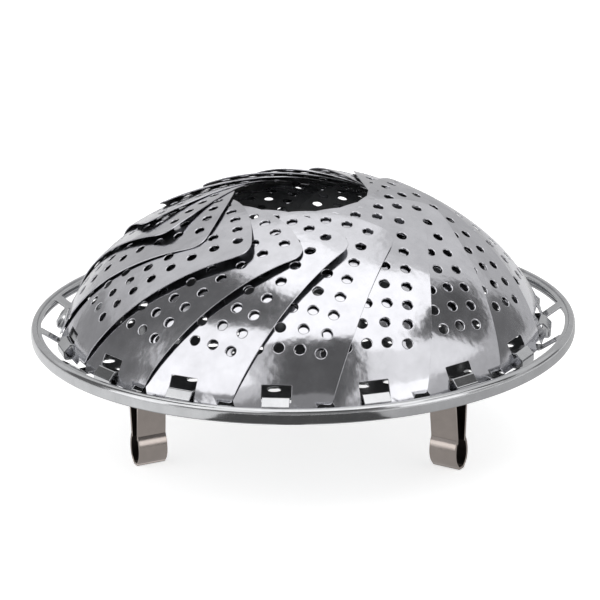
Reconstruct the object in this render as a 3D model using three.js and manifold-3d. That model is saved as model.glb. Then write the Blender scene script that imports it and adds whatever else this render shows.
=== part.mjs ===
// Folding steamer basket, shown closed as a dome on its three legs.
// A pressed base plate carries a rolled rim, a ring of curled tongues and three pairs of lugs.
// Dished, perforated petals hinge on the tongues and overlap like shingles; hairpin legs hinge on pins.
// Millimetres, +Z up, origin on the table below the centre. The front faces -Y.
// Azimuths are counted from the front, counter-clockwise seen from above.

import * as THREE from 'three';
import { mergeVertices } from 'three/addons/utils/BufferGeometryUtils.js';
import Module from 'manifold-3d';

const wasm = await Module();
wasm.setup();

// Whole basket
const PETAL_COUNT = 16;
const LEG_COUNT = 3;
const FIRST_PETAL_AZIMUTH = -6.3;
const FIRST_LEG_AZIMUTH = 55.5;
const RIM_HEIGHT = 32.5;
const BASE_SHEET = 0.5;
const PETAL_SHEET = 0.3;
const LEG_SHEET = 0.6;
const RUNNING_GAP = 0.3;
const CURL_GAP = 0.39;

// Petals. Their outline is laid out on a sphere of the dome radius. The dome's upright section leans in
// from upright by the hinge lean where it leaves the hinge; a wider arc follows the first at the knee.
const DOME_RADIUS = 69.6;
const DOME_CENTRE_DROP = 33.7;
const LOWER_ARC_RADIUS = 50;
const UPPER_ARC_RADIUS = 75;
const HINGE_LEAN_ANGLE = 22;
const KNEE_LEAN_ANGLE = 50;
const HINGE_DROP = 2;
const MOUTH_RADIUS = 17;
const LAYER_STEP = 0.95;
const LIFT_START = 0.6;
const LIFT_LENGTH = 1.5;
const STRIP_HALF_HEIGHT = 0.95;
const STRIP_END_SLOPE = 0.8;
const WINDOW_WIDTH = 7.3;
const WINDOW_TOP = 4.9;
const LEADING_FOOT = 13.3;
const TRAILING_FOOT = 10.4;
const NOTCH = 3.1;
const SHOULDER_HALF_WIDTH = 25.7;
const SHOULDER_UP = 51;
const TIP_EDGE_RADIUS = 55;
const TIP_CORNER_INSET = 1.6;
const PETAL_HOLE_RADIUS = 1.3;
const PETAL_HOLE_SIDES = 6;
const PETAL_HOLE_ROWS = 7;
const PETAL_COLUMNS = 5;
const FIRST_HOLE_LINE = 9;
const TIP_MARGIN = 4.5;

// Base plate
const RIM_RADIUS = 70;
const BEAD_DEPTH = 3.9;
const BEAD_WIDTH = 2.1;
const FLANGE_DROP = 0.45;
const FLANGE_BEND = 0.4;
const BEAD_FOOT_RISE = 0.1;
const BEAD_CREST_SHARE = 0.6;
const BEAD_SHOULDER_SHARE = 0.25;
const BEAD_SHOULDER_INSET = 0.1;
const ROLL_RADIUS = 0.6;
const ROLL_END_RISE = 0.45;
const SLOT_INNER_RADIUS = 60.2;
const RISE_START_RADIUS = 62.6;
const RISE_END_RADIUS = 65.8;
const SLOT_OUTER_RADIUS = 67.3;
const SPOKE_WIDTH = 3.8;
const SPOKE_OFFSET = 12.3;
const TONGUE_CURL_ANGLES = [-90, -45, 0, 45, 90, 130, 165];
const DISC_RINGS = [54, 46, 37, 28, 19];
const BASE_HOLE_RADIUS = 1.6;
const BASE_HOLE_SIDES = 6;

// Legs, lugs and pins
const LEG_RADIUS = 44;
const LEG_WIDTH = 7.8;
const FOOT_HALF_FLAT = 1.4;
const BULB_HALF_WIDTH = 2.75;
const BULB_HEIGHT = 4;
const NECK_HALF_WIDTH = 2;
const NECK_HEIGHT = 8.4;
const ARM_TOP_HALF_WIDTH = 3.4;
const STOP_PAD_LENGTH = 2.2;
const FOOT_CURVE_WIDTH_SHARE = 0.82;
const FOOT_CURVE_HEIGHT_SHARE = 0.32;
const BULB_TOP_WIDTH_SHARE = 0.94;
const BULB_TOP_HEIGHT_SHARE = 0.65;
const NECK_FLARE = 0.1;
const NECK_FLARE_HEIGHT_SHARE = 0.85;
const PAD_BEND_LENGTH = 1;
const PAD_BEND_SHARE = 0.32;
const EYE_START = -55;
const EYE_END = 180;
const EYE_STEPS = 8;
const PIN_RADIUS = 0.9;
const PIN_HEAD_RADIUS = 1.6;
const PIN_HEAD_THICKNESS = 0.7;
const LUG_THICKNESS = 0.8;
const LUG_HALF_WIDTH = 2.4;
const LUG_SIDE_GAP = 0.4;

// Sizes that follow from the ones above
const PETAL_PITCH = 2 * Math.PI / PETAL_COUNT;
const HINGE_Z = RIM_HEIGHT - HINGE_DROP;
const HINGE_OVER_CENTRE = DOME_CENTRE_DROP - HINGE_DROP;
const HINGE_LATITUDE = Math.asin(HINGE_OVER_CENTRE / DOME_RADIUS);
const HINGE_RADIUS = DOME_RADIUS * Math.cos(HINGE_LATITUDE);
const HINGE_SLOPE = HINGE_LEAN_ANGLE * Math.PI / 180;
const KNEE_SLOPE = KNEE_LEAN_ANGLE * Math.PI / 180;
const KNEE_UP = LOWER_ARC_RADIUS * (KNEE_SLOPE - HINGE_SLOPE);
const LOWER_ARC = {
  radius: LOWER_ARC_RADIUS,
  offset: HINGE_RADIUS - LOWER_ARC_RADIUS * Math.cos(HINGE_SLOPE),
  height: -LOWER_ARC_RADIUS * Math.sin(HINGE_SLOPE),
};
const UPPER_ARC = {
  radius: UPPER_ARC_RADIUS,
  offset: LOWER_ARC.offset + (LOWER_ARC_RADIUS - UPPER_ARC_RADIUS) * Math.cos(KNEE_SLOPE),
  height: LOWER_ARC.height + (LOWER_ARC_RADIUS - UPPER_ARC_RADIUS) * Math.sin(KNEE_SLOPE),
};
const MOUTH_SLOPE = Math.acos((MOUTH_RADIUS - UPPER_ARC.offset) / UPPER_ARC_RADIUS);
const TIP_UP = KNEE_UP + UPPER_ARC_RADIUS * (MOUTH_SLOPE - KNEE_SLOPE);
const CURL_RADIUS = STRIP_HALF_HEIGHT + CURL_GAP + BASE_SHEET / 2;
const DISC_Z = HINGE_Z - CURL_RADIUS;
const DISC_UNDERSIDE = DISC_Z - BASE_SHEET / 2;
const TONGUE_HALF_WIDTH = WINDOW_WIDTH / 2 - RUNNING_GAP;
const EYE_RADIUS = PIN_RADIUS + RUNNING_GAP + LEG_SHEET / 2;
const PIN_Z = DISC_UNDERSIDE - RUNNING_GAP - EYE_RADIUS - LEG_SHEET / 2;
const PIN_SIDE = EYE_RADIUS - ARM_TOP_HALF_WIDTH;
const LUG_OFFSET = LEG_WIDTH / 2 + LUG_SIDE_GAP + LUG_THICKNESS / 2;
const PIN_HALF_SHAFT = LUG_OFFSET + LUG_THICKNESS / 2 + RUNNING_GAP;

const degrees = (angle) => angle * Math.PI / 180;
const mix = (from, to, share) => from + (to - from) * share;

// A sheet body collects points of its middle surface with their normals, and faces that run
// counter-clockwise seen from the side the normals point to. It is thickened evenly to both sides,
// and every edge that belongs to one face only is closed with a wall.
class SheetBody {
  constructor(thickness) {
    this.thickness = thickness;
    this.points = [];
    this.normals = [];
    this.faces = [];
  }

  vertex(point, normal) {
    this.points.push(point);
    this.normals.push(normal);
    return this.points.length - 1;
  }

  polygon(corners) {
    for (let i = 1; i + 1 < corners.length; i += 1) {
      this.faces.push([corners[0], corners[i], corners[i + 1]]);
    }
  }

  distance(first, second) {
    return this.points[first].distanceTo(this.points[second]);
  }

  // Faces between an outer loop and the loop of a hole inside it, always taking the shorter diagonal
  ring(outer, inner) {
    const gaps = inner.map((corner) => this.distance(outer[0], corner));
    const start = gaps.indexOf(Math.min(...gaps));
    let outerStep = 0;
    let innerStep = 0;
    while (outerStep < outer.length || innerStep < inner.length) {
      const here = outer[outerStep % outer.length];
      const next = outer[(outerStep + 1) % outer.length];
      const hole = inner[(start + innerStep) % inner.length];
      const holeNext = inner[(start + innerStep + 1) % inner.length];
      const outerIsShorter = this.distance(next, hole) <= this.distance(here, holeNext);
      const outerLeft = outerStep < outer.length;
      if (innerStep === inner.length || (outerLeft && outerIsShorter)) {
        this.faces.push([here, next, hole]);
        outerStep += 1;
      } else {
        this.faces.push([here, holeNext, hole]);
        innerStep += 1;
      }
    }
  }

  geometry() {
    const count = this.points.length;
    const positions = [];
    for (const side of [this.thickness / 2, -this.thickness / 2]) {
      this.points.forEach((point, i) => {
        positions.push(...point.clone().addScaledVector(this.normals[i], side).toArray());
      });
    }
    const indices = [];
    const openEdges = new Map();
    for (const [a, b, c] of this.faces) {
      indices.push(a, b, c, count + a, count + c, count + b);
      for (const [from, to] of [[a, b], [b, c], [c, a]]) {
        if (!openEdges.delete(`${to} ${from}`)) {
          openEdges.set(`${from} ${to}`, [from, to]);
        }
      }
    }
    for (const [from, to] of openEdges.values()) {
      indices.push(from, count + from, count + to, from, count + to, to);
    }
    const geometry = new THREE.BufferGeometry();
    geometry.setAttribute('position', new THREE.Float32BufferAttribute(positions, 3));
    geometry.setIndex(indices);
    return faceted(geometry);
  }
}

// Flat-shaded copy of a geometry
function faceted(geometry) {
  const separate = geometry.index ? geometry.toNonIndexed() : geometry;
  separate.computeVertexNormals();
  return separate;
}

function toManifold(geometry) {
  const bare = geometry.clone();
  bare.deleteAttribute('normal');
  bare.deleteAttribute('uv');
  const welded = mergeVertices(bare, 1e-4);
  return new wasm.Manifold(new wasm.Mesh({
    numProp: 3,
    vertProperties: new Float32Array(welded.attributes.position.array),
    triVerts: new Uint32Array(welded.index.array),
  }));
}

function fromManifold(manifold) {
  const mesh = manifold.getMesh();
  const geometry = new THREE.BufferGeometry();
  geometry.setAttribute('position', new THREE.Float32BufferAttribute(mesh.vertProperties, 3));
  geometry.setIndex(Array.from(mesh.triVerts));
  return faceted(geometry);
}

// Petal. A place on it is given by the distance up the dome from the hinge and the distance sideways
// from its centre line, positive towards the leading side. The hinge axis is the local Y axis.
// The leading side is lifted off the dome so that each petal lies one layer step above the next:
// the step is shared over the distance between their centre lines, and fades out at the hinge strip.
function petalLift(up) {
  const fade = 1 - Math.exp(-Math.max(up - LIFT_START, 0) / LIFT_LENGTH);
  return fade * LAYER_STEP / (domeSection(up).radius * PETAL_PITCH);
}

// Distance from the axis, height above the hinge and slope of the normal, a given way up the section
function domeSection(up) {
  const isLower = up <= KNEE_UP;
  const arc = isLower ? LOWER_ARC : UPPER_ARC;
  const slope = isLower ? HINGE_SLOPE + up / arc.radius : KNEE_SLOPE + (up - KNEE_UP) / arc.radius;
  return {
    radius: arc.offset + arc.radius * Math.cos(slope),
    height: arc.height + arc.radius * Math.sin(slope),
    slope,
  };
}

function petalPlace(up, side) {
  const latitude = HINGE_LATITUDE + up / DOME_RADIUS;
  const turn = side / DOME_RADIUS;
  const azimuth = Math.atan2(Math.sin(turn), Math.cos(turn) * Math.cos(latitude));
  const arc = DOME_RADIUS * (Math.asin(Math.cos(turn) * Math.sin(latitude)) - HINGE_LATITUDE);
  const { radius, height, slope } = domeSection(arc);
  const normal = new THREE.Vector3(
    Math.cos(slope) * Math.cos(azimuth),
    Math.cos(slope) * Math.sin(azimuth),
    Math.sin(slope),
  );
  const point = new THREE.Vector3(
    radius * Math.cos(azimuth) - HINGE_RADIUS,
    radius * Math.sin(azimuth),
    height,
  );
  return { point: point.addScaledVector(normal, petalLift(up) * side), normal };
}

function flankShare(up) {
  return (up - STRIP_HALF_HEIGHT) / (SHOULDER_UP - STRIP_HALF_HEIGHT);
}

function leadingEdge(up) {
  return mix(LEADING_FOOT, SHOULDER_HALF_WIDTH, flankShare(up));
}

function trailingEdge(up) {
  return -mix(TRAILING_FOOT, SHOULDER_HALF_WIDTH, flankShare(up));
}

function tipSag(side) {
  return TIP_EDGE_RADIUS - Math.sqrt(TIP_EDGE_RADIUS ** 2 - side ** 2);
}

// Side where a bowed line across the petal meets one of its long edges
function edgeMeeting(edge, middleUp, bow) {
  let side = edge(middleUp);
  for (let round = 0; round < 12; round += 1) {
    side = edge(middleUp - bow * tipSag(side));
  }
  return side;
}

// Line across the petal in equal steps, straight near the hinge and bowed like the tip edge further up
function bowedLine(middleUp, bow, inset) {
  const trailing = edgeMeeting(trailingEdge, middleUp, bow) + inset;
  const leading = edgeMeeting(leadingEdge, middleUp, bow) - inset;
  const line = [];
  for (let column = 0; column <= PETAL_COLUMNS; column += 1) {
    const side = mix(trailing, leading, column / PETAL_COLUMNS);
    line.push([middleUp - bow * tipSag(side), side]);
  }
  return line;
}

// Line across the petal at the window, with the window's two sides among its corners
function windowLine(up, trailing, leading) {
  const half = WINDOW_WIDTH / 2;
  const sides = [trailing, (trailing - half) / 2, -half, half, (leading + half) / 2, leading];
  return sides.map((side) => [up, side]);
}

function petalGeometry() {
  const sheet = new SheetBody(PETAL_SHEET);
  const place = ([up, side]) => {
    const { point, normal } = petalPlace(up, side);
    return sheet.vertex(point, normal);
  };
  const stripLeading = LEADING_FOOT - NOTCH;
  const lines = [
    windowLine(-STRIP_HALF_HEIGHT, STRIP_END_SLOPE - TRAILING_FOOT, stripLeading - STRIP_END_SLOPE),
    windowLine(STRIP_HALF_HEIGHT, -TRAILING_FOOT, stripLeading),
    windowLine(WINDOW_TOP, trailingEdge(WINDOW_TOP), leadingEdge(WINDOW_TOP)),
  ];
  const lastHoleLine = TIP_UP - TIP_MARGIN;
  for (let row = 0; row <= PETAL_HOLE_ROWS; row += 1) {
    const share = row / PETAL_HOLE_ROWS;
    lines.push(bowedLine(mix(FIRST_HOLE_LINE, lastHoleLine, share), share, 0));
  }
  lines.push(bowedLine(TIP_UP, 1, TIP_CORNER_INSET));
  const corners = lines.map((line) => line.map(place));
  const notchCorner = place([STRIP_HALF_HEIGHT, LEADING_FOOT]);

  const windowColumn = (PETAL_COLUMNS - 1) / 2;
  const windowRow = 1;
  const firstHoleRow = 3;
  for (let row = 0; row + 1 < lines.length; row += 1) {
    for (let column = 0; column < PETAL_COLUMNS; column += 1) {
      const cell = [
        corners[row][column],
        corners[row][column + 1],
        corners[row + 1][column + 1],
        corners[row + 1][column],
      ];
      const holeRow = row - firstHoleRow;
      const inHoleRows = holeRow >= 0 && holeRow < PETAL_HOLE_ROWS;
      if (row === windowRow && column === windowColumn) {
        continue;
      }
      if (row === windowRow && column === PETAL_COLUMNS - 1) {
        sheet.polygon([cell[1], notchCorner, cell[2], cell[3], cell[0]]);
      } else if (inHoleRows && (holeRow + column) % 2 === 0) {
        const around = [
          lines[row][column],
          lines[row][column + 1],
          lines[row + 1][column + 1],
          lines[row + 1][column],
        ];
        sheet.ring(cell, petalHole(around, place));
      } else {
        sheet.polygon(cell);
      }
    }
  }
  return sheet.geometry();
}

function petalHole(around, place) {
  const middleUp = around.reduce((sum, [up]) => sum + up, 0) / around.length;
  const middleSide = around.reduce((sum, [, side]) => sum + side, 0) / around.length;
  const loop = [];
  for (let corner = 0; corner < PETAL_HOLE_SIDES; corner += 1) {
    const angle = 2 * Math.PI * corner / PETAL_HOLE_SIDES;
    loop.push(place([
      middleUp + PETAL_HOLE_RADIUS * Math.sin(angle),
      middleSide + PETAL_HOLE_RADIUS * Math.cos(angle),
    ]));
  }
  return loop;
}

// Base plate. Its middle surface is turned about the axis: flat disc, rise, flange, rolled bead.
function rimProfile() {
  const half = BASE_SHEET / 2;
  const flangeZ = RIM_HEIGHT - FLANGE_DROP - half;
  const outer = RIM_RADIUS - half;
  const bottom = RIM_HEIGHT - BEAD_DEPTH + half;
  return [
    [SLOT_INNER_RADIUS, DISC_Z],
    [RISE_START_RADIUS, DISC_Z],
    [RISE_END_RADIUS, flangeZ - FLANGE_BEND],
    [SLOT_OUTER_RADIUS, flangeZ],
    [RIM_RADIUS - BEAD_WIDTH, flangeZ + BEAD_FOOT_RISE],
    [RIM_RADIUS - BEAD_CREST_SHARE * BEAD_WIDTH, RIM_HEIGHT - half],
    [outer - BEAD_SHOULDER_INSET, RIM_HEIGHT - BEAD_SHOULDER_SHARE * BEAD_DEPTH],
    [outer, bottom + ROLL_RADIUS],
    [outer - ROLL_RADIUS, bottom],
    [outer - 2 * ROLL_RADIUS, bottom + ROLL_END_RISE],
  ];
}

// Normals of a profile in its own plane, on the left of its running direction
function profileNormals(profile) {
  return profile.map((place, i) => {
    const before = profile[Math.max(i - 1, 0)];
    const after = profile[Math.min(i + 1, profile.length - 1)];
    const length = Math.hypot(after[0] - before[0], after[1] - before[1]);
    return [-(after[1] - before[1]) / length, (after[0] - before[0]) / length];
  });
}

// Point or direction given by radial, sideways and upward parts at an azimuth
function atAzimuth(azimuth, radial, sideways, z) {
  return new THREE.Vector3(
    radial * Math.sin(azimuth) + sideways * Math.cos(azimuth),
    -radial * Math.cos(azimuth) + sideways * Math.sin(azimuth),
    z,
  );
}

// The four edges that divide each petal's share of the plate: both sides of the tongue and of the spoke
function plateAzimuths() {
  const tongue = Math.asin(TONGUE_HALF_WIDTH / SLOT_INNER_RADIUS);
  const spoke = SPOKE_WIDTH / 2 / RISE_END_RADIUS;
  const azimuths = [];
  for (let petal = 0; petal < PETAL_COUNT; petal += 1) {
    const tab = degrees(FIRST_PETAL_AZIMUTH) + petal * PETAL_PITCH;
    const bar = tab + degrees(SPOKE_OFFSET);
    azimuths.push(tab - tongue, tab + tongue, bar - spoke, bar + spoke);
  }
  return azimuths;
}

function baseSheetGeometry() {
  const sheet = new SheetBody(BASE_SHEET);
  const up = new THREE.Vector3(0, 0, 1);
  const azimuths = plateAzimuths();
  const perPetal = azimuths.length / PETAL_COUNT;
  const profile = rimProfile();
  const normals = profileNormals(profile);
  const slotEnd = 3;

  // Rings of corners, from the slot's inner edge out to the end of the roll
  const isSpoke = (i) => i % perPetal >= perPetal / 2;
  const rim = profile.map(([radius, z], line) => azimuths.map((azimuth, i) => {
    const inSlot = line > 0 && line < slotEnd;
    if (inSlot && !isSpoke(i)) {
      return -1;
    }
    const [across, rise] = normals[line];
    return sheet.vertex(atAzimuth(azimuth, radius, 0, z), atAzimuth(azimuth, across, 0, rise));
  }));
  for (let line = 0; line + 1 < profile.length; line += 1) {
    for (let i = 0; i < azimuths.length; i += 1) {
      const j = (i + 1) % azimuths.length;
      const isSpokeCell = i % perPetal === perPetal / 2;
      if (line >= slotEnd || isSpokeCell) {
        sheet.polygon([rim[line][i], rim[line + 1][i], rim[line + 1][j], rim[line][j]]);
      }
    }
  }

  // Tongues, curled round the petals' hinge strips
  for (let petal = 0; petal < PETAL_COUNT; petal += 1) {
    const tab = degrees(FIRST_PETAL_AZIMUTH) + petal * PETAL_PITCH;
    let last = [rim[0][petal * perPetal], rim[0][petal * perPetal + 1]];
    for (const curl of TONGUE_CURL_ANGLES) {
      const across = Math.cos(degrees(curl));
      const rise = Math.sin(degrees(curl));
      const radius = HINGE_RADIUS + CURL_RADIUS * across;
      const z = HINGE_Z + CURL_RADIUS * rise;
      const next = [-TONGUE_HALF_WIDTH, TONGUE_HALF_WIDTH].map((side) => sheet.vertex(
        atAzimuth(tab, radius, side, z),
        atAzimuth(tab, -across, 0, -rise),
      ));
      sheet.polygon([last[0], next[0], next[1], last[1]]);
      last = next;
    }
  }

  // Disc, with half as many corners on each of two inner steps, and holes in every other cell
  let outer = rim[0];
  let angles = azimuths;
  DISC_RINGS.forEach((radius, ring) => {
    const merge = (ring === 1 || ring === DISC_RINGS.length - 1) ? 2 : 1;
    const innerAngles = angles.filter((_, i) => i % merge === 0);
    const inner = innerAngles.map((azimuth) => sheet.vertex(atAzimuth(azimuth, radius, 0, DISC_Z), up));
    const outerRadius = ring === 0 ? SLOT_INNER_RADIUS : DISC_RINGS[ring - 1];
    for (let i = 0; i < inner.length; i += 1) {
      const j = (i + 1) % inner.length;
      const cell = [inner[i]];
      for (let step = 0; step <= merge; step += 1) {
        cell.push(outer[(i * merge + step) % outer.length]);
      }
      cell.push(inner[j]);
      if (ring >= 2 && (i + ring) % 2 === 0) {
        const span = (innerAngles[j] - innerAngles[i] + 2 * Math.PI) % (2 * Math.PI);
        const middle = atAzimuth(innerAngles[i] + span / 2, (radius + outerRadius) / 2, 0, DISC_Z);
        sheet.ring(cell, baseHole(sheet, middle, up));
      } else {
        sheet.polygon(cell);
      }
    }
    outer = inner;
    angles = innerAngles;
  });
  const middle = sheet.vertex(new THREE.Vector3(0, 0, DISC_Z), up);
  for (let i = 0; i < outer.length; i += 1) {
    sheet.polygon([middle, outer[i], outer[(i + 1) % outer.length]]);
  }
  return sheet.geometry();
}

function baseHole(sheet, middle, normal) {
  const loop = [];
  for (let corner = 0; corner < BASE_HOLE_SIDES; corner += 1) {
    const angle = 2 * Math.PI * corner / BASE_HOLE_SIDES;
    const point = middle.clone();
    point.x += BASE_HOLE_RADIUS * Math.cos(angle);
    point.y += BASE_HOLE_RADIUS * Math.sin(angle);
    loop.push(sheet.vertex(point, normal));
  }
  return loop;
}

// Outlines of lugs and legs are drawn sideways and upward, and extruded along the radius
const ALONG_RADIUS = new THREE.Matrix4().makeBasis(
  new THREE.Vector3(0, 1, 0),
  new THREE.Vector3(0, 0, 1),
  new THREE.Vector3(1, 0, 0),
);

function extrudedAlongRadius(shape, width, curveSegments) {
  const geometry = new THREE.ExtrudeGeometry(shape, { depth: width, bevelEnabled: false, curveSegments });
  geometry.translate(0, 0, -width / 2);
  geometry.applyMatrix4(ALONG_RADIUS);
  return geometry;
}

function legFrame(leg) {
  return degrees(FIRST_LEG_AZIMUTH + leg * 360 / LEG_COUNT);
}

// Rotation about +Z that carries the local X axis to the radius at an azimuth
function turnTo(azimuth) {
  return azimuth - Math.PI / 2;
}

// Lug: a flap bent down from the disc, with a hole for the pin
function lugGeometry() {
  const shape = new THREE.Shape();
  const topZ = DISC_Z;
  shape.moveTo(PIN_SIDE + LUG_HALF_WIDTH, topZ);
  shape.lineTo(PIN_SIDE - LUG_HALF_WIDTH, topZ);
  shape.lineTo(PIN_SIDE - LUG_HALF_WIDTH, PIN_Z);
  shape.absarc(PIN_SIDE, PIN_Z, LUG_HALF_WIDTH, Math.PI, 2 * Math.PI, false);
  const hole = new THREE.Path();
  hole.absarc(PIN_SIDE, PIN_Z, PIN_RADIUS + RUNNING_GAP, 0, 2 * Math.PI, true);
  shape.holes.push(hole);
  return extrudedAlongRadius(shape, LUG_THICKNESS, 5);
}

function basePlateGeometry() {
  let plate = toManifold(baseSheetGeometry());
  for (let leg = 0; leg < LEG_COUNT; leg += 1) {
    for (const side of [-1, 1]) {
      const lug = lugGeometry();
      lug.translate(LEG_RADIUS + side * LUG_OFFSET, 0, 0);
      lug.rotateZ(turnTo(legFrame(leg)));
      plate = plate.add(toManifold(lug));
    }
  }
  return fromManifold(plate);
}

// Leg: one strip from the eye round the pin, down the first arm, round the bulb and up the far arm
// to a pad that bears on the underside of the disc
function legPath() {
  const path = [];
  for (let step = 0; step <= EYE_STEPS; step += 1) {
    const angle = degrees(mix(EYE_START, EYE_END, step / EYE_STEPS));
    path.push([PIN_SIDE + EYE_RADIUS * Math.cos(angle), PIN_Z + EYE_RADIUS * Math.sin(angle)]);
  }
  const half = LEG_SHEET / 2;
  const rightSide = [
    [FOOT_HALF_FLAT, half],
    [FOOT_CURVE_WIDTH_SHARE * BULB_HALF_WIDTH, FOOT_CURVE_HEIGHT_SHARE * BULB_HEIGHT],
    [BULB_HALF_WIDTH, BULB_HEIGHT],
    [BULB_TOP_WIDTH_SHARE * BULB_HALF_WIDTH, BULB_TOP_HEIGHT_SHARE * NECK_HEIGHT],
    [NECK_HALF_WIDTH + NECK_FLARE, NECK_FLARE_HEIGHT_SHARE * NECK_HEIGHT],
    [NECK_HALF_WIDTH, NECK_HEIGHT],
  ];
  for (const [side, z] of [...rightSide].reverse()) {
    path.push([-side, z]);
  }
  path.push(...rightSide);
  const padZ = DISC_UNDERSIDE - RUNNING_GAP - half;
  const bend = PAD_BEND_SHARE * PAD_BEND_LENGTH;
  path.push([ARM_TOP_HALF_WIDTH, padZ - PAD_BEND_LENGTH]);
  path.push([ARM_TOP_HALF_WIDTH + bend, padZ - bend]);
  path.push([ARM_TOP_HALF_WIDTH + PAD_BEND_LENGTH, padZ]);
  path.push([ARM_TOP_HALF_WIDTH + STOP_PAD_LENGTH, padZ]);
  return path;
}

// Outline of a strip of even thickness seen edge-on along a path
function stripShape(path, thickness) {
  const left = [];
  const right = [];
  path.forEach(([side, z], i) => {
    const before = path[Math.max(i - 1, 0)];
    const after = path[Math.min(i + 1, path.length - 1)];
    const first = new THREE.Vector2(side - before[0], z - before[1]).normalize();
    const second = new THREE.Vector2(after[0] - side, after[1] - z).normalize();
    const along = first.clone().add(second).normalize();
    const bend = Math.max(along.dot(first), along.dot(second));
    const reach = thickness / 2 / bend;
    left.push(new THREE.Vector2(side - along.y * reach, z + along.x * reach));
    right.push(new THREE.Vector2(side + along.y * reach, z - along.x * reach));
  });
  return new THREE.Shape([...right, ...left.reverse()]);
}

function legGeometry() {
  const geometry = extrudedAlongRadius(stripShape(legPath(), LEG_SHEET), LEG_WIDTH, 1);
  geometry.translate(0, -PIN_SIDE, -PIN_Z);
  return faceted(geometry);
}

function pinGeometry() {
  const end = PIN_HALF_SHAFT + PIN_HEAD_THICKNESS;
  const profile = [
    new THREE.Vector2(0, -end),
    new THREE.Vector2(PIN_HEAD_RADIUS, -end),
    new THREE.Vector2(PIN_HEAD_RADIUS, -PIN_HALF_SHAFT),
    new THREE.Vector2(PIN_RADIUS, -PIN_HALF_SHAFT),
    new THREE.Vector2(PIN_RADIUS, PIN_HALF_SHAFT),
    new THREE.Vector2(PIN_HEAD_RADIUS, PIN_HALF_SHAFT),
    new THREE.Vector2(PIN_HEAD_RADIUS, end),
    new THREE.Vector2(0, end),
  ];
  const geometry = new THREE.LatheGeometry(profile, 12);
  geometry.rotateZ(-Math.PI / 2);
  return faceted(geometry);
}

// Assembly
const polishedSteel = new THREE.MeshStandardMaterial({ color: 0xc9cacc, roughness: 0.15, metalness: 1 });
const brightSteel = new THREE.MeshStandardMaterial({ color: 0xb9bbbd, roughness: 0.2, metalness: 1 });
const stripSteel = new THREE.MeshStandardMaterial({ color: 0xaaa5a2, roughness: 0.25, metalness: 1 });

const basket = new THREE.Group();
basket.name = 'folding_steamer_basket';

const basePlate = new THREE.Mesh(basePlateGeometry(), brightSteel);
basePlate.name = 'base_plate';
basket.add(basePlate);

const petalShape = petalGeometry();
for (let petal = 0; petal < PETAL_COUNT; petal += 1) {
  const azimuth = degrees(FIRST_PETAL_AZIMUTH) + petal * PETAL_PITCH;
  const mesh = new THREE.Mesh(petalShape, polishedSteel);
  mesh.name = `petal_${String(petal + 1).padStart(2, '0')}`;
  mesh.position.copy(atAzimuth(azimuth, HINGE_RADIUS, 0, HINGE_Z));
  mesh.rotation.z = turnTo(azimuth);
  basket.add(mesh);
}

const legShape = legGeometry();
const pinShape = pinGeometry();
for (let leg = 0; leg < LEG_COUNT; leg += 1) {
  const azimuth = legFrame(leg);
  const seat = new THREE.Group();
  seat.name = `leg_seat_${leg + 1}`;
  seat.position.copy(atAzimuth(azimuth, LEG_RADIUS, PIN_SIDE, PIN_Z));
  seat.rotation.z = turnTo(azimuth);
  const strip = new THREE.Mesh(legShape, stripSteel);
  strip.name = `leg_${leg + 1}`;
  const pin = new THREE.Mesh(pinShape, brightSteel);
  pin.name = `leg_pin_${leg + 1}`;
  seat.add(strip, pin);
  basket.add(seat);
}

export default basket;
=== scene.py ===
"""Looks of the folding steamer basket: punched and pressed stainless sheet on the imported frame."""

import math

import bpy
import numpy as np
from mathutils import Matrix, Vector
from mathutils.geometry import delaunay_2d_cdt


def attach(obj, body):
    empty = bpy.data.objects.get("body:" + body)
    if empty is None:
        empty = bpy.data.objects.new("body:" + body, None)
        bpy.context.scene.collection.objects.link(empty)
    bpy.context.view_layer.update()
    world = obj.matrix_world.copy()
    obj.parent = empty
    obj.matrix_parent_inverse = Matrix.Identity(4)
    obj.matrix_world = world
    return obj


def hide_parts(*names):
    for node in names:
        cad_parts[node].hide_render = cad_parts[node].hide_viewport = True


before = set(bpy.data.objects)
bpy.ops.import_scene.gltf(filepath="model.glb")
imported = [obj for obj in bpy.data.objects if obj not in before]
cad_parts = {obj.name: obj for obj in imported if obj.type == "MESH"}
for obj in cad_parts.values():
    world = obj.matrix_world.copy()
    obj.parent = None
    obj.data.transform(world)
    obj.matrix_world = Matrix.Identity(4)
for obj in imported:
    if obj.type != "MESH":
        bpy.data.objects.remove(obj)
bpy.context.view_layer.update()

# Sizes in millimetres, angles in degrees, and shares; the main ones are those of the solids
MM = 0.001
PETAL_COUNT = 16
LEG_COUNT = 3
FIRST_PETAL_AZIMUTH = -6.3
FIRST_LEG_AZIMUTH = 55.5
RIM_HEIGHT = 32.5
RIM_RADIUS = 70.0
BASE_SHEET = 0.5
PETAL_SHEET = 0.3
LEG_SHEET = 0.6
RUNNING_GAP = 0.3
CURL_GAP = 0.39

# Petals
DOME_RADIUS = 69.6
DOME_CENTRE_DROP = 33.7
LOWER_ARC_RADIUS = 50.0
UPPER_ARC_RADIUS = 75.0
HINGE_LEAN_ANGLE = 22.0
KNEE_LEAN_ANGLE = 50.0
HINGE_DROP = 2.0
MOUTH_RADIUS = 17.0
LAYER_STEP = 0.95
LIFT_START = 0.6
LIFT_LENGTH = 1.5
STRIP_HALF_HEIGHT = 0.95
STRIP_END_SLOPE = 0.8
WINDOW_WIDTH = 7.3
WINDOW_TOP = 5.2
WINDOW_CORNER = 0.35
LEADING_FOOT = 13.3
TRAILING_FOOT = 10.4
NOTCH = 3.1
NOTCH_ROUND = 0.4
FOOT_ROUND = 0.8
SHOULDER_HALF_WIDTH = 25.7
TIP_EDGE_RADIUS = 55.0
SHOULDER_ROUND = 5.5
SHOULDER_REACH = 1.1
BEND_START = 8.0
TIP_SETTLE = 0.3
TRAILING_DIP = 0.4
FLATTER_ACROSS = 0.5
FLATTER_MIDDLE = 8.0
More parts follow.
